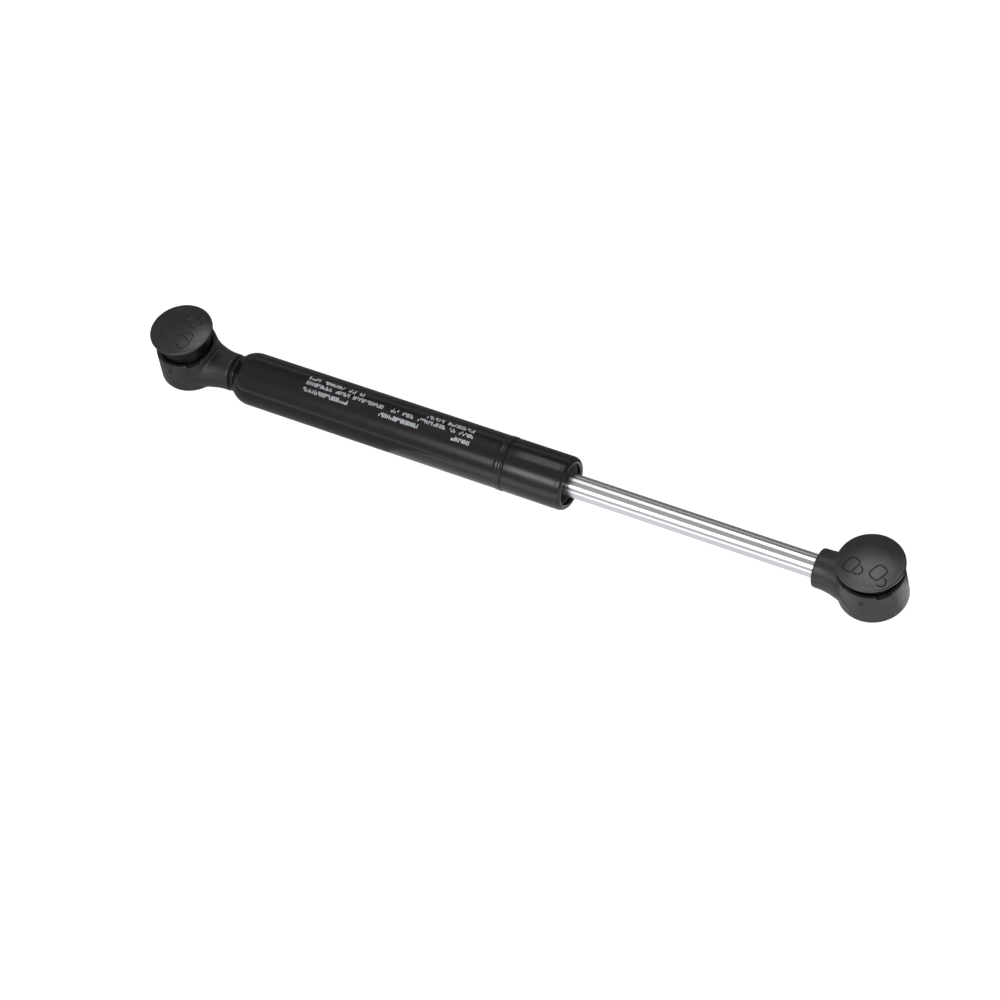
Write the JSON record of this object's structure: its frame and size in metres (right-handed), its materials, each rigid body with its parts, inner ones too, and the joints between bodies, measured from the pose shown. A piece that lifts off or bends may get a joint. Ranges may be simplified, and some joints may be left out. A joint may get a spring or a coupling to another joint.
{
  "type": "gas strut stay",
  "caption": "Slim gas spring with a black cylinder, a chromed piston rod and a black plastic ball socket with a domed push-to-lock cap on each end.",
  "frame": {"origin": "centre of the ball stud that the cylinder-end socket holds, on the strut's centre line", "axes": "+X along the strut from the cylinder end to the rod end, +Z towards the locking caps, so each ball stud comes in from -Z, and +Y by the right-hand rule"},
  "size_m": [0.279, 0.023, 0.0263],
  "materials": {
    "black_paint": "satin",
    "chrome_rod": "polished",
    "plain_steel": "turned",
    "bush_bronze": "satin",
    "black_nylon": "matt",
    "dark_nylon": "satin",
    "white_acetal": "satin",
    "seal_rubber": "matt"
  },
  "bodies": {
    "cylinder": {"cylinder_tube": "black_paint", "end_plug": "plain_steel", "end_plug_o_ring": "seal_rubber", "end_collar": "black_paint", "rod_guide": "dark_nylon", "guide_bush": "bush_bronze", "guide_o_ring": "seal_rubber", "rod_seal": "seal_rubber", "seal_backing_washer": "plain_steel", "stop_sleeve": "white_acetal", "cylinder_socket_housing": "black_nylon", "cylinder_ball_cup": "white_acetal", "cylinder_thread_insert": "bush_bronze"},
    "cylinder_cap": {"cylinder_lock_cap": "black_nylon"},
    "piston_ring": {"piston_ring": "seal_rubber"},
    "rod": {"piston_rod": "chrome_rod", "piston_front_washer": "plain_steel", "piston": "white_acetal", "piston_rear_washer": "plain_steel", "piston_nut": "plain_steel", "rod_socket_housing": "black_nylon", "rod_ball_cup": "white_acetal", "rod_thread_insert": "bush_bronze"},
    "rod_cap": {"rod_lock_cap": "black_nylon"}
  },
  "joints": [
    {"name": "rod_slide", "type": "slide", "parent": "cylinder", "child": "piston_ring", "axis": [1, 0, 0], "range_m": [-0.08, 0], "stiffness_N_per_m": 278, "springref_m": 0.32},
    {"name": "rod_spin", "type": "hinge", "parent": "piston_ring", "child": "rod", "pos_m": [0.119, 0, 0], "axis": [1, 0, 0], "continuous": true},
    {"name": "cylinder_cap_push", "type": "slide", "parent": "cylinder", "child": "cylinder_cap", "axis": [0, 0, 1], "range_m": [-0.0062, 0]},
    {"name": "rod_cap_push", "type": "slide", "parent": "rod", "child": "rod_cap", "axis": [0, 0, 1], "range_m": [-0.0033, 0.0029]}
  ]
}
